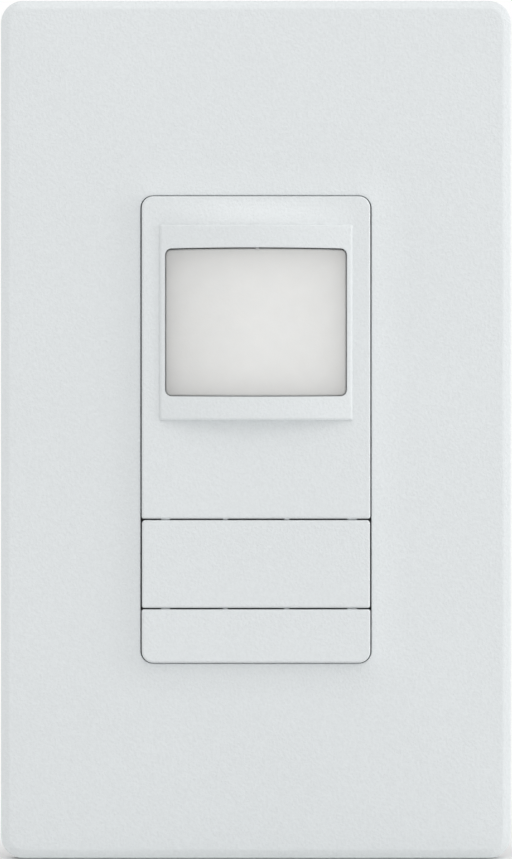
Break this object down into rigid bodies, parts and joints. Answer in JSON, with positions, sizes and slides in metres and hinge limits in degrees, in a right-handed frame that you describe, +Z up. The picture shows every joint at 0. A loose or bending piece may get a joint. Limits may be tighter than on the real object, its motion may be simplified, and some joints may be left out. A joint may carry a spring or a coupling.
{
  "type": "photocell wall switch",
  "caption": "Wall switch with a lensed sensor head above a large and a small push key, on a steel strap, behind a screwless bevelled wall plate.",
  "frame": {"origin": "on the wall surface, behind the middle of the wall plate", "axes": "+X to the right seen from the room, +Y into the wall, +Z up"},
  "size_m": [0.0728, 0.0416, 0.1224],
  "materials": {
    "white_moulding": "finely grained",
    "lens_moulding": "milky, satin",
    "inner_moulding": "plain moulded",
    "housing_moulding": "grained",
    "zinc_steel": "zinc plated",
    "screw_steel": "zinc plated",
    "white_screw": "painted",
    "fibre": "pressed fibre",
    "board_laminate": "solder resist",
    "can_steel": "nickel plated",
    "filter_glass": "polished filter",
    "ceramic_body": "unglazed",
    "dark_plastic": "moulded",
    "plunger_plastic": "moulded",
    "lamp_resin": "clear resin",
    "chip_resin": "moulded resin",
    "gold_pins": "plated",
    "relay_case": "moulded",
    "capacitor_case": "moulded box",
    "capacitor_can": "sleeved aluminium",
    "varistor_resin": "dipped resin",
    "ferrite": "fired ferrite",
    "winding_tape": "taped winding",
    "fuse_body": "glazed tube with caps",
    "terminal_brass": "bright",
    "clamp_steel": "zinc plated",
    "green_screw": "green passivated"
  },
  "bodies": {
    "root": {"wall_plate": "white_moulding", "plate_subframe": "inner_moulding", "subframe_screws": "white_screw", "mounting_strap": "zinc_steel", "box_screws": "screw_steel", "screw_retainers": "fibre", "sensor_face": "white_moulding", "sensor_lens": "lens_moulding", "lens_frame": "inner_moulding", "front_chassis": "inner_moulding", "front_board": "board_laminate", "pir_detector": "can_steel", "pir_window": "filter_glass", "photocell": "ceramic_body", "photocell_shroud": "dark_plastic", "status_led": "lamp_resin", "main_key_switch": "dark_plastic", "lower_key_switch": "dark_plastic", "controller_chip": "chip_resin", "board_socket": "dark_plastic", "board_pins": "gold_pins", "power_board": "board_laminate", "relay": "relay_case", "film_capacitor": "capacitor_case", "reservoir_capacitor": "capacitor_can", "surge_varistor": "varistor_resin", "transformer_core": "ferrite", "transformer_coil": "winding_tape", "fuse": "fuse_body", "bridge_rectifier": "chip_resin", "rear_housing": "housing_moulding", "housing_screws": "screw_steel", "terminal_plates": "terminal_brass", "terminal_clamps": "clamp_steel", "terminal_screws": "terminal_brass", "ground_clamp": "clamp_steel", "ground_screw": "green_screw"},
    "main_key": {"main_key": "white_moulding", "main_key_plunger": "plunger_plastic"},
    "lower_key": {"lower_key": "white_moulding", "lower_key_plunger": "plunger_plastic"}
  },
  "joints": [
    {"name": "main_key_press", "type": "slide", "parent": "root", "child": "main_key", "axis": [0, 1, 0], "range_m": [0, 0.0008], "stiffness_N_per_m": 1500, "springref_m": -0.0008},
    {"name": "lower_key_press", "type": "slide", "parent": "root", "child": "lower_key", "axis": [0, 1, 0], "range_m": [0, 0.0008], "stiffness_N_per_m": 1500, "springref_m": -0.0008}
  ]
}
